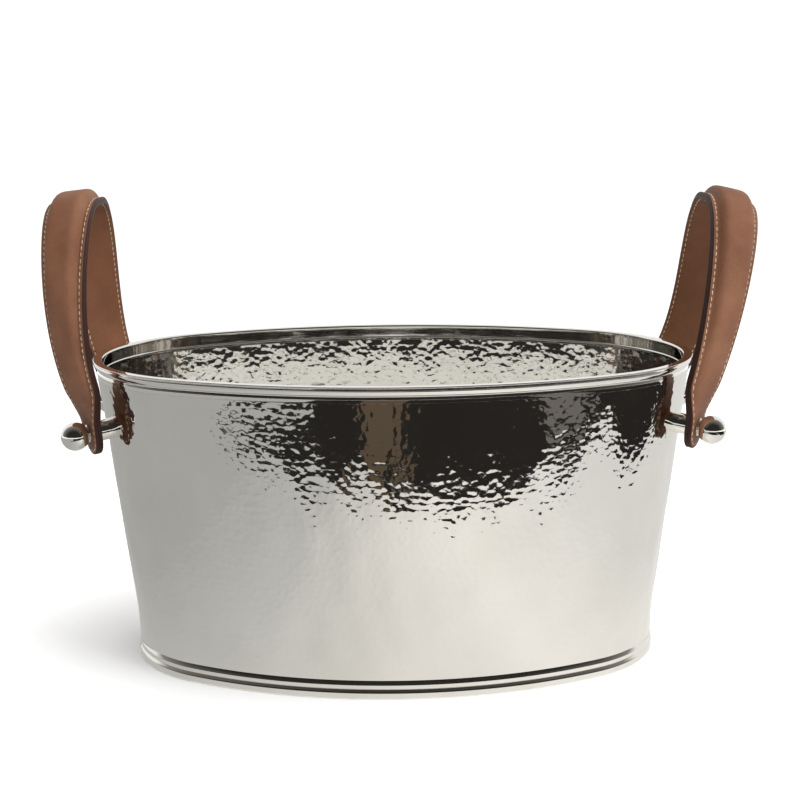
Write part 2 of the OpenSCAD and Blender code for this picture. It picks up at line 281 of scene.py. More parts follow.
def leather(name, light, deep, edge):
    """Smooth leather: cloudy dye, fine grain, pores, and a dark colour where the mesh says so: edge dye at the
    edges, painted shade in the stitch holes and along the crease.
    """
    mat, nt, bsdf = material(name)
    pos = node(nt, "ShaderNodeTexCoord").outputs["Object"]
    cloud = node(nt, "ShaderNodeTexNoise", {"Vector": pos, "Scale": 28.0, "Detail": 6.0, "Roughness": 0.6})
    dye = ramp(nt, cloud.outputs["Fac"], [(0.32, deep), (0.68, light)])
    speck = node(nt, "ShaderNodeTexNoise", {"Vector": pos, "Scale": 900.0, "Detail": 3.0, "Roughness": 0.7})
    speckle = node(nt, "ShaderNodeMapRange", {"Value": speck.outputs["Fac"], "From Min": 0.35, "From Max": 0.7,
                                              "To Min": 0.9, "To Max": 1.06})
    toned = node(nt, "ShaderNodeVectorMath", {0: dye.outputs["Color"], 3: speckle.outputs["Result"]},
                 operation="SCALE")
    # the mask holds dark edge dye at the edges and painted shade in the stitch holes and along the crease
    dye_and_shade_mask = node(nt, "ShaderNodeAttribute", attribute_name="edge_dye_and_shade")
    rough_edge = node(nt, "ShaderNodeTexNoise", {"Vector": pos, "Scale": 260.0, "Detail": 3.0})
    wander = node(nt, "ShaderNodeMath", {0: rough_edge.outputs["Fac"], 1: 0.5}, operation="SUBTRACT")
    shifted = node(nt, "ShaderNodeMath", {0: wander.outputs[0], 1: 0.45, 2: dye_and_shade_mask.outputs["Fac"]},
                   operation="MULTIPLY_ADD")
    amount = node(nt, "ShaderNodeMapRange", {"Value": shifted.outputs[0], "From Min": 0.25, "From Max": 0.75},
                  interpolation_type="SMOOTHSTEP")
    # mixes in the dark colour: real edge dye at the edges, painted shade in the stitch holes and crease
    mixed = node(nt, "ShaderNodeMix", {"Factor": amount.outputs["Result"], "A": toned.outputs["Vector"],
                                       "B": (*edge, 1)}, data_type="RGBA")
    nt.links.new(mixed.outputs[2], bsdf.inputs["Base Color"])
    shine = node(nt, "ShaderNodeMapRange", {"Value": amount.outputs["Result"], "To Min": 0.62, "To Max": 0.55})
    nt.links.new(shine.outputs["Result"], bsdf.inputs["Roughness"])
    grain = node(nt, "ShaderNodeTexVoronoi", {"Vector": pos, "Scale": 1150.0, "Randomness": 1.0})
    pores = node(nt, "ShaderNodeTexNoise", {"Vector": pos, "Scale": 420.0, "Detail": 5.0, "Roughness": 0.65})
    height = node(nt, "ShaderNodeMath", {0: grain.outputs["Distance"], 1: 0.5, 2: pores.outputs["Fac"]},
                  operation="MULTIPLY_ADD")
    bump = node(nt, "ShaderNodeBump", {"Height": height.outputs[0], "Distance": 0.00035, "Strength": 0.35})
    nt.links.new(bump.outputs["Normal"], bsdf.inputs["Normal"])
    bsdf.inputs["Specular IOR Level"].default_value = 0.22
    return mat


def thread_material():
    mat, nt, bsdf = material("waxed_thread")
    pos = node(nt, "ShaderNodeTexCoord").outputs["Object"]
    twist = node(nt, "ShaderNodeTexWave", {"Vector": pos, "Scale": 900.0, "Distortion": 1.5},
                 bands_direction="DIAGONAL")
    soil = node(nt, "ShaderNodeTexNoise", {"Vector": pos, "Scale": 60.0, "Detail": 4.0})
    tone = ramp(nt, soil.outputs["Fac"], [(0.3, (0.32, 0.24, 0.16)), (0.65, (0.50, 0.41, 0.30))])
    nt.links.new(tone.outputs["Color"], bsdf.inputs["Base Color"])
    bump = node(nt, "ShaderNodeBump", {"Height": twist.outputs["Fac"], "Distance": 0.0002, "Strength": 0.5})
    nt.links.new(bump.outputs["Normal"], bsdf.inputs["Normal"])
    bsdf.inputs["Roughness"].default_value = 0.6
    return mat


def rubber_material():
    mat, nt, bsdf = material("seal_rubber")
    pos = node(nt, "ShaderNodeTexCoord").outputs["Object"]
    dust = node(nt, "ShaderNodeTexNoise", {"Vector": pos, "Scale": 400.0, "Detail": 4.0})
    tone = ramp(nt, dust.outputs["Fac"], [(0.3, (0.012, 0.012, 0.013)), (0.7, (0.035, 0.034, 0.033))])
    nt.links.new(tone.outputs["Color"], bsdf.inputs["Base Color"])
    bsdf.inputs["Roughness"].default_value = 0.7
    return mat


HAMMERED = metal("hammered_nickel", (0.86, 0.845, 0.81), (0.80, 0.785, 0.745), 0.035, 0.04, 14.0, 90.0,
                 0.00003, hammered=True)
POLISHED = metal("polished_nickel", (0.87, 0.855, 0.815), (0.82, 0.80, 0.755), 0.03, 0.04, 18.0, 60.0, 0.00003)
SATIN = metal("satin_nickel", (0.78, 0.77, 0.74), (0.72, 0.71, 0.68), 0.2, 0.12, 20.0, 300.0, 0.00006)
STEEL = metal("bright_steel", (0.74, 0.74, 0.73), (0.66, 0.66, 0.65), 0.14, 0.12, 60.0, 500.0, 0.00005)
# the last colour is the dark edge dye, also used as painted shade in the stitch holes and along the crease
LEATHER = leather("tan_leather", (0.168, 0.073, 0.037), (0.115, 0.046, 0.023), (0.026, 0.009, 0.006))
LINING = leather("tan_lining", (0.168, 0.070, 0.034), (0.125, 0.050, 0.024), (0.026, 0.009, 0.006))
THREAD = thread_material()
RUBBER = rubber_material()

# ---------------------------------------------------------------- the hammered wall
DENT_PITCH = 4.7
DENT_RADIUS = 46.0
WAVE_COUNT, WAVE_HEIGHT = 9, 0.16
MID_OFF = 12.0
RNG = np.random.RandomState(20)


def hammering(s, z, perimeter):
    """Depth, in mm, of the hammer marks at arc length s and height z: cups that meet in soft ridges."""
    cols = int(round(perimeter / DENT_PITCH))
    pitch = perimeter / cols
    row_h = pitch * math.sqrt(3) / 2
    rows = int(VESSEL_H / row_h) + 8
    jitter = RNG.uniform(-0.34, 0.34, (rows, cols, 2)) * pitch
    depth = RNG.uniform(0.0, 0.05, (rows, cols))
    curve = RNG.uniform(0.75, 1.5, (rows, cols)) / (2 * DENT_RADIUS)
    best = np.full(np.shape(s), 1e9)
    j0 = np.round(z / row_h).astype(int)
    for dj in range(-2, 3):
        j = j0 + dj
        shift = 0.5 * (j % 2)
        i0 = np.round(s / pitch - shift).astype(int)
        for di in range(-2, 3):
            i = i0 + di
            k, m = (j + 3) % rows, i % cols
            cs = (i + shift) * pitch + jitter[k, m, 0]
            cz = j * row_h + jitter[k, m, 1]
            h = ((s - cs) ** 2 + (z - cz) ** 2) * curve[k, m] - depth[k, m]
            best = np.minimum(best, h)
    return best - 0.04


def waves(s, z, perimeter):
    """Gentle unevenness of the sheet: a sum of long waves that close round the oval."""
    rng = np.random.RandomState(5)
    out = np.zeros(np.shape(s))
    for _ in range(WAVE_COUNT):
        around = rng.randint(14, 46)
        up = rng.uniform(-0.11, 0.11)
        out = out + np.sin(2 * math.pi * around * s / perimeter + up * z + rng.uniform(0, 6.28))
    return WAVE_HEIGHT * out / math.sqrt(WAVE_COUNT)


def fade(z):
    """The hammering dies out just above the foot and just under the rim."""
    return np.clip((z - FOOT_H) / 14, 0, 1) ** 2 * np.clip((WALL_TOP - z) / 5, 0, 1) ** 0.7


def build_wall():
    """The sheet as four closed panels that meet edge to edge: two ends, a front and a rear."""
    n_end, n_side, n_up = ((200, 262, 168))
    stations = oval_stations(n_end, n_side)
    n = len(stations)
    perimeter = 2 * (2 * END_PHI * (END_R - MID_OFF) + (math.pi - 2 * END_PHI) * (SIDE_R - MID_OFF))
    x, y = oval_xy(stations, np.full((n, 1), -MID_OFF))
    gaps = np.hypot(np.diff(np.append(x, x[0])), np.diff(np.append(y, y[0])))
    s = np.concatenate([[0], np.cumsum(gaps)[:-1]]) * perimeter / gaps.sum()
    z_out = np.linspace(FOOT_H, WALL_TOP + OVERLAP, n_up)
    z_in = np.linspace(WALL_TOP - 1, FOOT_H + WALL_T + 1.2, n_up)

    def dent(z):
        ss, zz = np.broadcast_arrays(s[:, None], z[None, :])
        marks = hammering(ss, zz, perimeter)
        slow = waves(ss, zz, perimeter)
        return marks * np.clip(fade(zz) * 4, 0, 1) + slow * fade(zz)

    state = RNG.get_state()
    d_out = dent(z_out)
    RNG.set_state(state)
    d_in = dent(z_in)

    def fixed(off, z):
        return np.full((n, 1), off), np.full((n, 1), z)

    parts = [(wall_off(z_out)[None, :] + d_out, np.broadcast_to(z_out, (n, n_up))),
             fixed(SEAT, WALL_TOP + OVERLAP), fixed(SEAT, WALL_EDGE),
             fixed(SEAT - WALL_T, WALL_EDGE), fixed(SEAT - WALL_T, WALL_TOP),
             (wall_off(z_in)[None, :] - WALL_T + d_in, np.broadcast_to(z_in, (n, n_up))),
             fixed(FOOT_OFF - WALL_T, FOOT_H + WALL_T), fixed(FOOT_OFF - FLANGE_W, FOOT_H + WALL_T),
             fixed(FOOT_OFF - FLANGE_W, FOOT_H)]
    off = np.concatenate([p[0] for p in parts], 1)
    zz = np.concatenate([p[1] for p in parts], 1)
    x, y = oval_xy(stations, off)
    grid = np.stack([x, y, zz], -1)
    m = grid.shape[1]
    pieces, start = [], 0
    for name, count in (("right_end", n_end), ("rear", n_side), ("left_end", n_end), ("front", n_side)):
        cols = [(start + i) % n for i in range(count + 1)]
        verts = grid[cols].reshape(-1, 3)
        quads = grid_quads(count + 1, m, wrap_cols=True)
        caps = []
        for end, flip in ((0, False), (count, True)):
            base = end * m
            inner = base + 2 * n_up + 3
            strip = [[base + a, base + a + 1, inner - a - 1, inner - a] for a in range(n_up - 1)]
            top = [[base + n_up - 1, base + n_up, base + n_up + 3, base + n_up + 4],
                   [base + n_up, base + n_up + 1, base + n_up + 2, base + n_up + 3]]
            low = [[base, inner, base + m - 3, base + m - 1]]
            corner = [[base + m - 3, base + m - 2, base + m - 1]]
            caps += [np.array(f)[:, ::-1] if flip else np.array(f) for f in (strip + top + low, corner)]
        pieces.append(make_object(f"hammered_wall_{name}", verts, [quads[:, ::-1], *caps], HAMMERED, 40))
        start += count
    return pieces


for piece in build_wall():
    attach(piece, "root")
    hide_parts("wall")

# ---------------------------------------------------------------- rim moulding and foot ring
def rim_outline():
    """Offset from the lip's edge, and height: lip, groove, bead, cove, channel over the wall, fold."""
    inner_leg = SEAT - WALL_T
    top = arc(-5.5, -1.4, 1.4, 180, 90, 12) + [(-3.0, 0)] + arc(-0.6, -0.6, 0.6, 90, -50, 12)
    groove = [(-1.6, -1.3)]
    bead = arc(-1.8, -2.9, 1, 23, -12, 8) + arc(-6.7, -1.9, 6, -12, -50, 16)
    cove = arc(1.6, -6.5, 5, 186, 210, 12)
    channel = [(-3.12, -11.95), (SEAT, -11.95), (SEAT, -3.5), (inner_leg, -3.5), (inner_leg, -10.4)]
    fold = arc(inner_leg - 0.8, -10.4, 0.8, 0, -248, 18)
    return np.array(top + groove + bead + cove + channel + fold) + (0, VESSEL_H)


def foot_outline():
    """Offset and height: cove, bead, groove and foot roll on a face set back under the wall."""
    face = FOOT_OFF - WALL_T
    cove = [(FOOT_OFF - FLANGE_W, FOOT_H)] + arc(face + 9, FOOT_H + 1.9, 9, 192, 212, 12)
    bead = arc(face + 0.7, 10.2, 1.1, 40, 0, 8) + arc(face + 0.7, 8.3, 1.1, 0, -80, 12)
    roll = arc(face + 0.4, 4.3, 2.2, 40, 0, 10) + arc(face + 1.6, 1, 1, 0, -90, 8)
    return np.array(cove + bead + [(face + 1, 6.9)] + roll + [(FOOT_OFF - FLANGE_W, 0)])


for part, outline, n_end, n_side in (("rim_moulding", rim_outline(), 120, 150),
                                     ("foot_ring", foot_outline(), 150, 190)):
    ring = sweep_oval(f"{part}_polished", soften(outline), POLISHED, n_end, n_side)
    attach(ring, "root")
    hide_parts(part)

# ---------------------------------------------------------------- ball studs
STUD_PHI, STUD_Z = math.radians(28), 183.0
TAPER_A = math.atan(TAPER)
SPACER_L, COVER_T, LINING_T = 12.0, 2.8, 2.7
STRAP_FACE = SPACER_L + COVER_T + LINING_T
BALL_R, BALL_OUT = 10.25, 10.1
HOLE_R, CORE_R = 3.3, 3.05
SEAT_DROP = WALL_T + 0.35
SEAL_FACE, NUT_FACE = SEAT_DROP + 1.5, SEAT_DROP + 2.5
NUT_FLATS, NUT_CORNER, NUT_BORE = 11.5, 6.64, 6.5


def stud_place(side, end):
    """Matrix of a stud's frame, in mm: Z runs out along its axis, and -X runs up the wall."""
    c, s = math.cos(STUD_PHI), math.sin(STUD_PHI)
    ct, st = math.cos(TAPER_A), math.sin(TAPER_A)
    axis = np.array([side * c * ct, end * s * ct, -st])
    up = np.array([side * c * st, end * s * st, ct])
    r = END_R + float(wall_off(STUD_Z))
    p = np.array([side * (END_CX + r * c), end * r * s, STUD_Z])
    m = np.eye(4)
    m[:3, 0], m[:3, 2], m[:3, 3] = -up, axis, p
    m[:3, 1] = np.cross(axis, -up)
    return m


def knob_outline():
    """A ball on a thin collar that bears on the strap, with a blind hole for the stud."""
    z = STRAP_FACE
    hollow = [(0, z + 11), (CORE_R, z + 11), (CORE_R, z)]
    collar = [(6.1, z), (6.42, z + 0.12), (6.5, z + 0.4), (6.42, z + 0.82), (6.1, z + 1.0), (5.45, z + 1.06)]
    return hollow + collar + arc(0, z + BALL_OUT, BALL_R, -58, 90, 60)


def spacer_outline():
    end = SPACER_L
    return [(HOLE_R, -0.5), (7.5, -0.5), (7.5, 0.3), (7.5, end - 0.75), (7.42, end - 0.4), (7.2, end - 0.12),
            (6.9, end), (HOLE_R, end), (HOLE_R, -0.5)]


def washer_outline(r, low, high, k):
    """A washer over a stud, with its outer edges rounded by k."""
    return [(HOLE_R, low), (r - k, low), (r - 0.3 * k, low + 0.3 * k), (r, low + k), (r, high - k),
            (r - 0.3 * k, high - 0.3 * k), (r - k, high), (HOLE_R, high), (HOLE_R, low)]


def hexagon(angles, r, z):
    """Radius of the nut's hexagon, as a share of r and no more than 1."""
    turn = (angles + math.pi / 6) % (math.pi / 3) - math.pi / 6
    return np.minimum(NUT_FLATS / 2 / np.cos(turn) / r, 1.0)


def cap_nut(name, place):
    """A domed nut that points into the vessel: a hexagon with chamfered corners, then a dome."""
    hollow = [(0, NUT_BORE), (CORE_R, NUT_BORE), (CORE_R, 0)]
    body = [(5.7, 0), (NUT_CORNER, 0.45), (NUT_CORNER, 4.5), (5.6, 5.0), (5.05, 5.05), (4.9, 5.35)]
    dome = arc(0, 5.8, 4.9, 2, 90, 22)
    flip = place @ np.diag([1.0, -1.0, -1.0, 1.0])
    flip[:3, 3] = place[:3, 3] - place[:3, 2] * NUT_FACE
    return revolve(name, hollow + body + dome, flip, STEEL, 96, 28, hexagon)


for side_name, side in SIDES:
    for end_name, end in ENDS:
        place = stud_place(side, end)
        tag = f"{side_name}_{end_name}"
        made = [
            (revolve(f"{tag}_ball_knob", knob_outline(), place, POLISHED, 112), "knob", "polished_nickel"),
            (revolve(f"{tag}_spacer_tube", spacer_outline(), place, POLISHED, 96), "spacer", "polished_nickel"),
            (revolve(f"{tag}_seal", washer_outline(8, -SEAL_FACE, -SEAT_DROP, 0.4), place, RUBBER, 72),
             "sealing_washer", "rubber_seal"),
            (revolve(f"{tag}_plain_washer", washer_outline(7, -NUT_FACE, -SEAL_FACE, 0.2), place, STEEL, 72),
             "flat_washer", "steel"),
            (cap_nut(f"{tag}_domed_nut", place), "cap_nut", "steel"),
        ]
        for obj, part, slot in made:
            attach(obj, "root")
            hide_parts(f"{tag}_{part}")

# ---------------------------------------------------------------- leather handles
BEND_UP, TAB_R, BEND_W, TOP_W = 26.0, 15.75, 34.5, 37.5
RISE, RIDGE_H, BEND_RIDGE = 134.0, 7.4, 1.5
BEND_TWIST = math.radians(90 - 47)
ARCH_POWER, BOW_POWER = 2.6, 0.7
HANDLE_BOW = {"left": (6.3, 6.3), "right": (2.7, 8.5)}
LEAN = {"left": math.radians(5.6), "right": math.radians(12.3)}
RIDGE_MARGIN, RIDGE_BASE, RIDGE_POWER = 4.6, 2.0, 7
STRAIGHT, ARCH_FROM, WIDEN = 9.0, 3.0, 15.0
EASE_REACH, EASE_SIGMA = 18, 7.0
STITCH_IN, CREASE_IN = 2.8, 4.35
GROOVE, CREASE, HOLE_SINK = 0.32, 0.28, 0.55
PER_STITCH = 6
THREAD_W, THREAD_H, STITCH_SLANT = 0.38, 0.34, 0.28
SIDE_STITCHES, TIP_STITCHES = 86, 8


def arch_point(a, y0):
    """The handle's centre line in its own plane, as a quarter of a superellipse."""
    c, s = max(math.cos(a), 0), math.sin(a)
    return y0 * c ** (2 / ARCH_POWER), RISE * s ** (2 / ARCH_POWER)


def handle_leg(name, side, leg_bow):
    """Dense samples of a strap from its front stud to its top: seam position, face direction and progress."""
    place = stud_place(side, -1)
    axis, up = place[:3, 2], -place[:3, 0]
    seam = place[:3, 3] + axis * (SPACER_L + LINING_T)
    bend = seam + up * BEND_UP
    rows = [(*(seam + up * s), *axis, 0.0) for s in np.arange(0, STRAIGHT + 0.01, 0.5)]
    lean = LEAN[name]
    w_dir = np.array([side * math.sin(lean), 0, math.cos(lean)])
    x_dir = np.array([side * math.cos(lean), 0, -math.sin(lean)])
    y_dir = np.array([0, 1.0, 0])
    y0 = bend[1]
    for a in np.radians(np.linspace(0, 90, 900)):
        y, w = arch_point(a, y0)
        if w < ARCH_FROM:
            continue
        da = 1e-4
        y1, w1 = arch_point(a + da, y0)
        y2, w2 = arch_point(a - da, y0)
        t = np.array([y1 - y2, w1 - w2])
        t = t / np.hypot(*t) if a < math.pi / 2 - TINY else np.array([1.0, 0.0])
        f = 0.62 * w / RISE + 0.38 * (1 - abs(y / y0))
        twist = BEND_TWIST * (1 - f)
        out = -t[1] * y_dir + t[0] * w_dir
        face = out * math.cos(twist) + x_dir * math.sin(twist)
        bow = leg_bow * math.sin(math.pi * (w / RISE) ** BOW_POWER)
        p = np.array([bend[0], 0, bend[2]]) + y_dir * y + w_dir * w + x_dir * bow
        rows.append((*p, *face, f))
    return np.array(rows)


def handle_line(name, side):
    """Samples from stud to stud; the rear leg mirrors the front one, with its own bow."""
    front_bow, rear_bow = HANDLE_BOW[name]
    rear = handle_leg(name, side, rear_bow)[-2::-1]
    rear[:, [1, 4]] *= -1
    return np.vstack([handle_leg(name, side, front_bow), rear])


def smooth_rows(rows, sigma=3.2, step=0.25):
    """Rows at even steps along the strap, blurred so that the bend over the studs is a soft curve."""
    gap = np.linalg.norm(np.diff(rows[:, :3], axis=0), axis=1)
    length = np.concatenate([[0], np.cumsum(gap)])
    s = np.arange(0, length[-1], step)
    f = np.stack([np.interp(s, length, rows[:, k]) for k in range(rows.shape[1])], -1)
    reach = int(3 * sigma / step)
    w = np.exp(-0.5 * (np.arange(-reach, reach + 1) * step / sigma) ** 2)
    w /= w.sum()
    head = 2 * f[0] - f[reach:0:-1]
    tail = 2 * f[-1] - f[-2:-reach - 2:-1]
    long = np.vstack([head, f, tail])
    return s, sum(w[k] * long[k:k + len(f)] for k in range(2 * reach + 1))


def strap_frames(name, side):
    """Rows along the strap, PER_STITCH to a stitch: place, directions, half width and ridge height."""
    s, f = smooth_rows(handle_line(name, side))
    total = s[-1]
    marks = np.linspace(0, total, SIDE_STITCHES * PER_STITCH + 1)
    at = np.stack([np.interp(marks, s, f[:, k]) for k in range(f.shape[1])], -1)
    pos, face, along = at[:, :3], at[:, 3:6], at[:, 6]
    tangent = np.gradient(pos, axis=0)
    tangent /= np.linalg.norm(tangent, axis=1)[:, None]
    face -= (face * tangent).sum(1)[:, None] * tangent
    face /= np.linalg.norm(face, axis=1)[:, None]
    across = np.cross(tangent, face) * side
    from_stud = np.minimum(marks, total - marks)
    k = np.clip(from_stud / WIDEN, 0, 1)
    tab_half = TAB_R + (BEND_W / 2 - TAB_R) * k * k * (3 - 2 * k)
    loop_half = (TOP_W - (TOP_W - BEND_W) * (1 - along) ** 1.5) / 2
    half = np.where(from_stud < BEND_UP, tab_half, np.maximum(loop_half, BEND_W / 2))
    rise = BEND_RIDGE * np.clip((from_stud - STRAIGHT) / (BEND_UP - STRAIGHT), 0, 1) ** 1.5
    loop_rise = RIDGE_H - (RIDGE_H - BEND_RIDGE) * (1 - along) ** 3.5
    lift = np.where(along > 0.03, loop_rise, rise)
    w = np.exp(-0.5 * (np.arange(-EASE_REACH, EASE_REACH + 1) / EASE_SIGMA) ** 2)
    w /= w.sum()
    for arr in (half, lift):
        pad = np.pad(arr, EASE_REACH, mode="edge")
        arr[:] = np.convolve(pad, w, mode="valid")
    return pos, across, face, tangent, half, lift


def columns(frames):
    """The strap's outline as a closed ring: centre, direction to the edge, face, half width, ridge."""
    pos, across, face, tangent, half, lift = frames
    n = len(pos) - 1
    tip = TIP_STITCHES * PER_STITCH
    cols = [(pos[i], across[i], face[i], half[i], lift[i]) for i in range(n)]
    for i in range(tip):
        a = math.pi * i / tip
        cols.append((pos[n], across[n] * math.cos(a) + tangent[n] * math.sin(a), face[n], half[n], 0.0))
    cols += [(pos[i], -across[i], face[i], half[i], lift[i]) for i in range(n, 0, -1)]
    for i in range(tip):
        a = math.pi * i / tip
        cols.append((pos[0], -across[0] * math.cos(a) - tangent[0] * math.sin(a), face[0], half[0], 0.0))
    c = [np.array([row[k] for row in cols]) for k in range(5)]
    return c, n, tip


# mm in from the edge of each row of vertices, the outer face's height at the first rows, and the shares of the
# half width at which the padded middle's rows stand
COVER_ROWS = [0.0, 0.0, 0.0, 0.0, 0.12, 0.35, 0.65, 1.0, 1.5, 2.0, 2.35, 2.8, 3.25, 3.6, 3.95, 4.25, 4.55]
COVER_EDGE = [0.12, 0.6, 1.2, 1.75, 2.2, 2.5, 2.68, 2.77, 2.8]
CORE_ROWS = [0.03, 0.07, 0.12, 0.18, 0.26, 0.36, 0.48, 0.62, 0.8]
LINING_ROWS = [0.0, 0.0, 0.0, 0.0, 0.12, 0.35, 0.65, 1.0, 1.5, 2.0, 2.35, 2.8, 3.25, 3.6, 4.2]
LINING_EDGE = [0.12, 0.6, 1.1, 1.7, 2.1, 2.4, 2.58, 2.67, 2.7]
LINING_CORE = [0.12, 0.3, 0.55, 0.8]


def hump(x, at, width):
    return math.exp(-((x - at) / width) ** 2)


def layer_mesh(cols, n, tip, rows, edge, core, outer):
    """Vertices and faces of the cover (outer) or the lining, with a darkening from 0 to 1 for each vertex: edge
    dye at the edges, painted shade in the stitch holes and along the crease.
    """
    centre, reach, face, half, lift = cols
    count = len(centre)
    sign = 1.0 if outer else -1.0
    rings, edge_dye_and_shade = [], []
    step = np.arange(count)
    is_hole = step % PER_STITCH == 0
    near_hole = np.minimum(step % PER_STITCH, -step % PER_STITCH) == 1
    flat = COVER_T if outer else LINING_T
    raised = lift if outer else np.zeros(count)
    fat = np.clip(lift / RIDGE_BASE, 0, 1)

    def ring(inward, height, dark):
        rings.append(centre + reach * (half - inward)[:, None] + face * (sign * height)[:, None])
        edge_dye_and_shade.append(np.broadcast_to(dark, (count,)))

    ones = np.ones(count)
    ring(ones * 0.4, ones * 0.0, 1.0)
    for k, inward in enumerate(rows):
        base = edge[k] if k < len(edge) else flat
        groove = GROOVE * hump(inward, STITCH_IN, 0.42)
        crease = CREASE * hump(inward, CREASE_IN, 0.3) if outer else 0.0
        sink = np.where(is_hole, HOLE_SINK, np.where(near_hole, 0.12, 0.0)) * hump(inward, STITCH_IN, 0.45)
        # darker towards the edge for the edge dye; the stitch holes get painted shade
        dark = np.clip(1.15 - inward / 0.9, 0, 1) + np.where(is_hole, 0.9, 0.0) * hump(inward, STITCH_IN, 0.4)
        # painted shade along the crease line of the cover
        if outer:
            dark = dark + 0.25 * hump(inward, CREASE_IN, 0.35)
        ring(ones * inward, ones * (base - groove) - crease * fat - sink, np.clip(dark, 0, 1))
    inner_half = half - RIDGE_MARGIN
    for k in core:
        bump = 1 - (1 - k) ** RIDGE_POWER
        ring(half - inner_half * (1 - k), flat + raised * bump, 0.0)
    m = len(rings)
    verts = np.stack(rings, 1).reshape(-1, 3)
    dark = np.stack(edge_dye_and_shade, 1).reshape(-1)
    quads = grid_quads(count, m, wrap_rows=True)
    # the two sides meet along a spine of their own vertices, and a seam closes the inner side of the layer
    spine_first = len(verts)
    seam = centre[:n + 1]
    spine = seam + face[:n + 1] * (sign * (flat + raised[:n + 1]))[:, None]
    verts = np.vstack([verts, spine, seam])
    dark = np.concatenate([dark, np.zeros(2 * (n + 1))])
    station = np.concatenate([np.arange(n), np.full(tip, n), np.arange(n, 0, -1), np.zeros(tip, int)])
    a = np.arange(count)
    b = (a + 1) % count
    faces = [quads]
    for row, base in ((m - 1, spine_first), (0, spine_first + n + 1)):
        same = station[a] == station[b]
        quad = np.stack([a * m + row, b * m + row, base + station[b], base + station[a]], -1)
        tri = np.stack([a * m + row, b * m + row, base + station[a]], -1)
        q, t = quad[~same], tri[same]
        if row == 0:
            q, t = q[:, ::-1], t[:, ::-1]
        faces += [q, t]
    return verts, faces, dark


def stitches(cols, outer):
    """Short lengths of thread from hole to hole, a little slanted, all round the strap."""
    centre, reach, face, half, lift = cols
    count = len(centre)
    sign = 1.0 if outer else -1.0
    top = (COVER_T if outer else LINING_T) - GROOVE
    line = centre + reach * (half - STITCH_IN)[:, None] + face * (sign * top)
    verts, faces = [], []
    rings, sides = 8, 8
    for k in range(0, count, PER_STITCH):
        a, b = line[k], line[(k + PER_STITCH) % count]
        mid = line[(k + PER_STITCH // 2) % count]
        up = sign * (face[k] + face[(k + PER_STITCH) % count])
        up /= np.linalg.norm(up)
        run = b - a
        length = np.linalg.norm(run)
        run = run / length
        side = np.cross(up, run)
        first = len(verts)
        for i in range(rings):
            t = i / (rings - 1)
            q = 0.1 + 0.8 * t
            p = a * (1 - q) ** 2 + (2 * mid - 0.5 * (a + b)) * 2 * q * (1 - q) + b * q ** 2
            bulge = math.sin(math.pi * (0.06 + 0.88 * t)) ** 0.45
            p = p + up * (0.42 * math.sin(math.pi * t) ** 0.7 - 0.22) + side * (STITCH_SLANT * (t - 0.5) * sign)
            for j in range(sides):
                ang = 2 * math.pi * j / sides
                verts.append(p + (side * math.cos(ang) * THREAD_W + up * math.sin(ang) * THREAD_H) * bulge)
        faces.append(grid_quads(rings, sides, wrap_cols=True, first=first))
        for base, flip in ((first, True), (first + (rings - 1) * sides, False)):
            q = np.array([[base, base + 1, base + 2, base + 3], [base, base + 3, base + 4, base + 7],
                          [base + 4, base + 5, base + 6, base + 7]])
            faces.append(q[:, ::-1] if flip else q)
    return np.array(verts), [np.vstack(faces)]


def fix_normals(obj):
    """Turns all faces outwards."""
    bm = bmesh.new()
    bm.from_mesh(obj.data)
    bmesh.ops.recalc_face_normals(bm, faces=bm.faces)
    bm.to_mesh(obj.data)
    bm.free()


for side_name, side in SIDES:
    frames = strap_frames(side_name, side)
    cols, n, tip = columns(frames)
    tabs = [f"{side_name}_{e}_tab" for e, _ in ENDS]
    made = []
    for label, rows, edge, core, outer, mat, slot, nodes in (
        ("strap_leather_cover", COVER_ROWS, COVER_EDGE, CORE_ROWS, True, LEATHER, "leather",
         [f"{t}_cover" for t in tabs] + [f"{side_name}_strap_cover", f"{side_name}_strap_core"]),
        ("strap_leather_lining", LINING_ROWS, LINING_EDGE, LINING_CORE, False, LINING, "leather_lining",
         [f"{t}_lining" for t in tabs] + [f"{side_name}_strap_lining"]),
    ):
        verts, faces, dark = layer_mesh(cols, n, tip, rows, edge, core, outer)
        obj = make_object(f"{side_name}_{label}", verts, faces, mat, 75)
        # edge dye at the edges, painted shade in the stitch holes and along the crease
        attr = obj.data.attributes.new("edge_dye_and_shade", "FLOAT", "POINT")
        attr.data.foreach_set("value", dark.astype(np.float32))
        fix_normals(obj)
        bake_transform(obj)
        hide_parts(*nodes)
        made.append(obj)
    for label, outer in (("cover_stitching", True), ("lining_stitching", False)):
        verts, faces = stitches(cols, outer)
        obj = make_object(f"{side_name}_{label}", verts, faces, THREAD, 80)
        fix_normals(obj)
        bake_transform(obj)

# ---------------------------------------------------------------- CAD nodes that stay
for name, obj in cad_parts.items():
    if obj.hide_render:
        continue
    mat = SATIN if name == "floor_plate" else STEEL
    obj.data.materials.clear()
    obj.data.materials.append(mat)

# ---------------------------------------------------------------- floor, light and camera
def stage_plane(name, corners, mat):
    me = bpy.data.meshes.new(name)
    me.from_pydata([Vector(c) for c in corners], [], [tuple(range(len(corners)))])
    me.materials.append(mat)
    obj = bpy.data.objects.new(name, me)
    bpy.context.scene.collection.objects.link(obj)
    return obj


def paper(name, colour):
    mat, nt, bsdf = material(name)
    bsdf.inputs["Base Color"].default_value = (*colour, 1)
    bsdf.inputs["Roughness"].default_value = 0.6
    bsdf.inputs["Specular IOR Level"].default_value = 0.0
    return mat


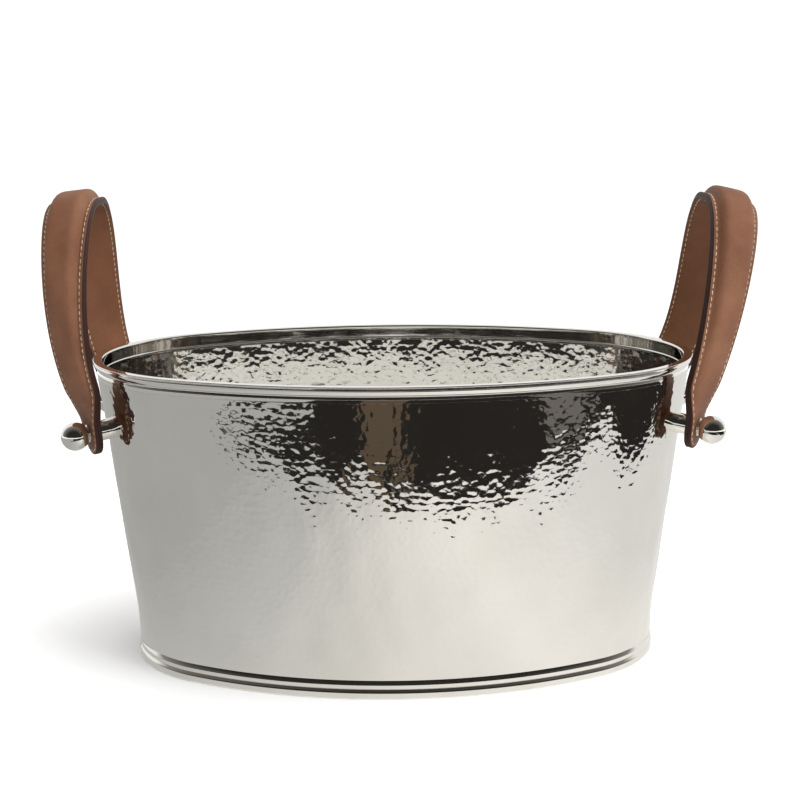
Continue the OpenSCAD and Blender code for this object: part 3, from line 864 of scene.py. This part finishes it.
def card(name, corners, colour):
    """A glowing card that only shows in reflections: a painted reflection, not a lamp."""
    mat = bpy.data.materials.new(name)
    mat.use_nodes = True
    nt = mat.node_tree
    nt.nodes.clear()
    glow = node(nt, "ShaderNodeEmission", {"Color": (*colour, 1), "Strength": 1.0})
    out = node(nt, "ShaderNodeOutputMaterial")
    nt.links.new(glow.outputs[0], out.inputs["Surface"])
    obj = stage_plane(name, corners, mat)
    obj.visible_camera = False
    obj.visible_diffuse = False
    obj.visible_shadow = False
    obj.visible_transmission = False
    return obj


FLOOR_SIZE = 60.0
SQUARE = ((-1, -1), (1, -1), (1, 1), (-1, 1))
stage_plane("floor", [(x * FLOOR_SIZE, y * FLOOR_SIZE, 0) for x, y in SQUARE],
            paper("floor_white", (0.92, 0.918, 0.912)))

# Flat glowing cards that only the mirrors see, as painted reflections in place of a photographer's flags: the
# table as a glowing sheet with painted light, dimmer to the left, and the dark room beyond its near edge as a
# dark sheet of painted shade, with a brown and a grey glowing patch in it. Corners in mm.
TABLE_R, TABLE_LIFT, ROOM_LIFT, GLOW_LIFT = 1.6, 1, 2, 3
table = card("table_reflection_glow_card", [(x * TABLE_R, y * TABLE_R, TABLE_LIFT * MM) for x, y in SQUARE], (1, 1, 1))
tree = table.data.materials[0].node_tree
across = node(tree, "ShaderNodeSeparateXYZ", {0: node(tree, "ShaderNodeTexCoord").outputs["Object"]})
spread = node(tree, "ShaderNodeMapRange", {"Value": across.outputs["X"], "From Min": -0.34, "From Max": 0.36})
# painted light on the table's glow: brighter to the right, where the light falls from, and dimmer to the left
shade = ramp(tree, spread.outputs["Result"], [(0.0, (0.43, 0.43, 0.415)), (0.25, (0.55, 0.545, 0.53)),
                                              (0.5, (0.83, 0.81, 0.775)), (0.68, (0.97, 0.945, 0.9)),
                                              (1.0, (0.80, 0.79, 0.77))])
glow = next(n for n in tree.nodes if n.type == "EMISSION")
tree.links.new(shade.outputs["Color"], glow.inputs["Color"])
# a dark sheet of painted shade for the unlit room, and two glowing patches that paint brown and grey
# reflections into it
ROOM_CARDS = (
    ("dark_room_shade_card", (0.020, 0.018, 0.016), ROOM_LIFT,
     ((-450, -400), (-100, -420), (550, -300), (500, -200), (700, 100), (1500, 0), (1500, -1500), (-400, -1500),
      (-250, -550))),
    ("brown_light_card", (0.105, 0.077, 0.052), GLOW_LIFT,
     ((-80, -440), (10, -430), (80, -900), (-120, -900))),
    ("grey_light_card", (0.16, 0.15, 0.135), GLOW_LIFT, ((400, -380), (560, -370), (620, -600), (440, -600))),
)
for name, colour, lift, outline in ROOM_CARDS:
    card(name, [(x * MM, y * MM, lift * MM) for x, y in outline], colour)


def studio_world():
    """White to the camera, brighter on the right to soft light, and a dim room in front to mirrors."""
    world = bpy.data.worlds.new("studio")
    bpy.context.scene.world = world
    world.use_nodes = True
    nt = world.node_tree
    white = nt.nodes["Background"]
    white.inputs["Color"].default_value = (1, 1, 1, 1)
    white.inputs["Strength"].default_value = 1.15
    toward = node(nt, "ShaderNodeSeparateXYZ", {0: node(nt, "ShaderNodeTexCoord").outputs["Generated"]})
    side = node(nt, "ShaderNodeMapRange", {"Value": toward.outputs["X"], "From Min": -1.0, "From Max": 1.0,
                                           "To Min": 0.3, "To Max": 2.1})
    soft = node(nt, "ShaderNodeBackground", {"Color": (1, 1, 1, 1), "Strength": side.outputs["Result"]})
    path = node(nt, "ShaderNodeLightPath")
    back = node(nt, "ShaderNodeMixShader", {0: path.outputs["Is Camera Ray"], 1: soft.outputs[0],
                                            2: white.outputs[0]})
    depth = node(nt, "ShaderNodeMapRange", {"Value": toward.outputs["Y"], "From Min": -1.0, "From Max": 1.0})
    room = ramp(nt, depth.outputs["Result"], [(0.0, (0.022, 0.02, 0.018)), (0.2, (0.026, 0.024, 0.021)),
                                              (0.4, (0.13, 0.125, 0.11)), (0.58, (0.24, 0.235, 0.22)),
                                              (0.68, (0.9, 0.9, 0.88))])
    seen = node(nt, "ShaderNodeBackground", {"Color": room.outputs["Color"], "Strength": 1.0})
    both = node(nt, "ShaderNodeMixShader", {0: path.outputs["Is Glossy Ray"], 1: back.outputs[0],
                                            2: seen.outputs[0]})
    nt.links.new(both.outputs[0], nt.nodes["World Output"].inputs["Surface"])


studio_world()


def soft_light(name, at, size, watts):
    """A rectangular light that faces the object and doesn't show in the mirrors."""
    data = bpy.data.lights.new(name, "AREA")
    data.shape = "RECTANGLE"
    data.size, data.size_y = size
    data.energy = watts
    obj = bpy.data.objects.new(name, data)
    bpy.context.scene.collection.objects.link(obj)
    obj.visible_glossy = False
    obj.location = at
    obj.rotation_euler = (LIGHT_TARGET - Vector(at)).to_track_quat("-Z", "Y").to_euler()


LIGHT_TARGET = Vector((0, 0, 0.1))
soft_light("top_light", (0.3, -0.2, 1.9), (1.6, 1.2), 18)
soft_light("right_light", (1.8, -1.2, 1.3), (1.2, 1.2), 28)

PITCH, ROLL, YAW = 0.1965, -0.009, 0.0077
CAMERA_AT = Vector((4.98, -1067.6, 403.2))
camera_data = bpy.data.cameras.new("camera")
camera_data.sensor_width = 36.0
camera_data.lens = 64.6
camera = bpy.data.objects.new("camera", camera_data)
bpy.context.scene.collection.objects.link(camera)
forward = Vector((0, math.cos(PITCH), -math.sin(PITCH)))
up0 = Vector((0, math.sin(PITCH), math.cos(PITCH)))
right0 = Vector((1, 0, 0))
right = right0 * math.cos(ROLL) + up0 * math.sin(ROLL)
up = up0 * math.cos(ROLL) - right0 * math.sin(ROLL)
turned = Matrix((right, up, -forward)).transposed().to_4x4()
turned.translation = CAMERA_AT * MM
camera.matrix_world = Matrix.Rotation(-YAW, 4, "Z") @ turned
bpy.context.scene.camera = camera
bpy.context.scene.view_settings.view_transform = "Standard"
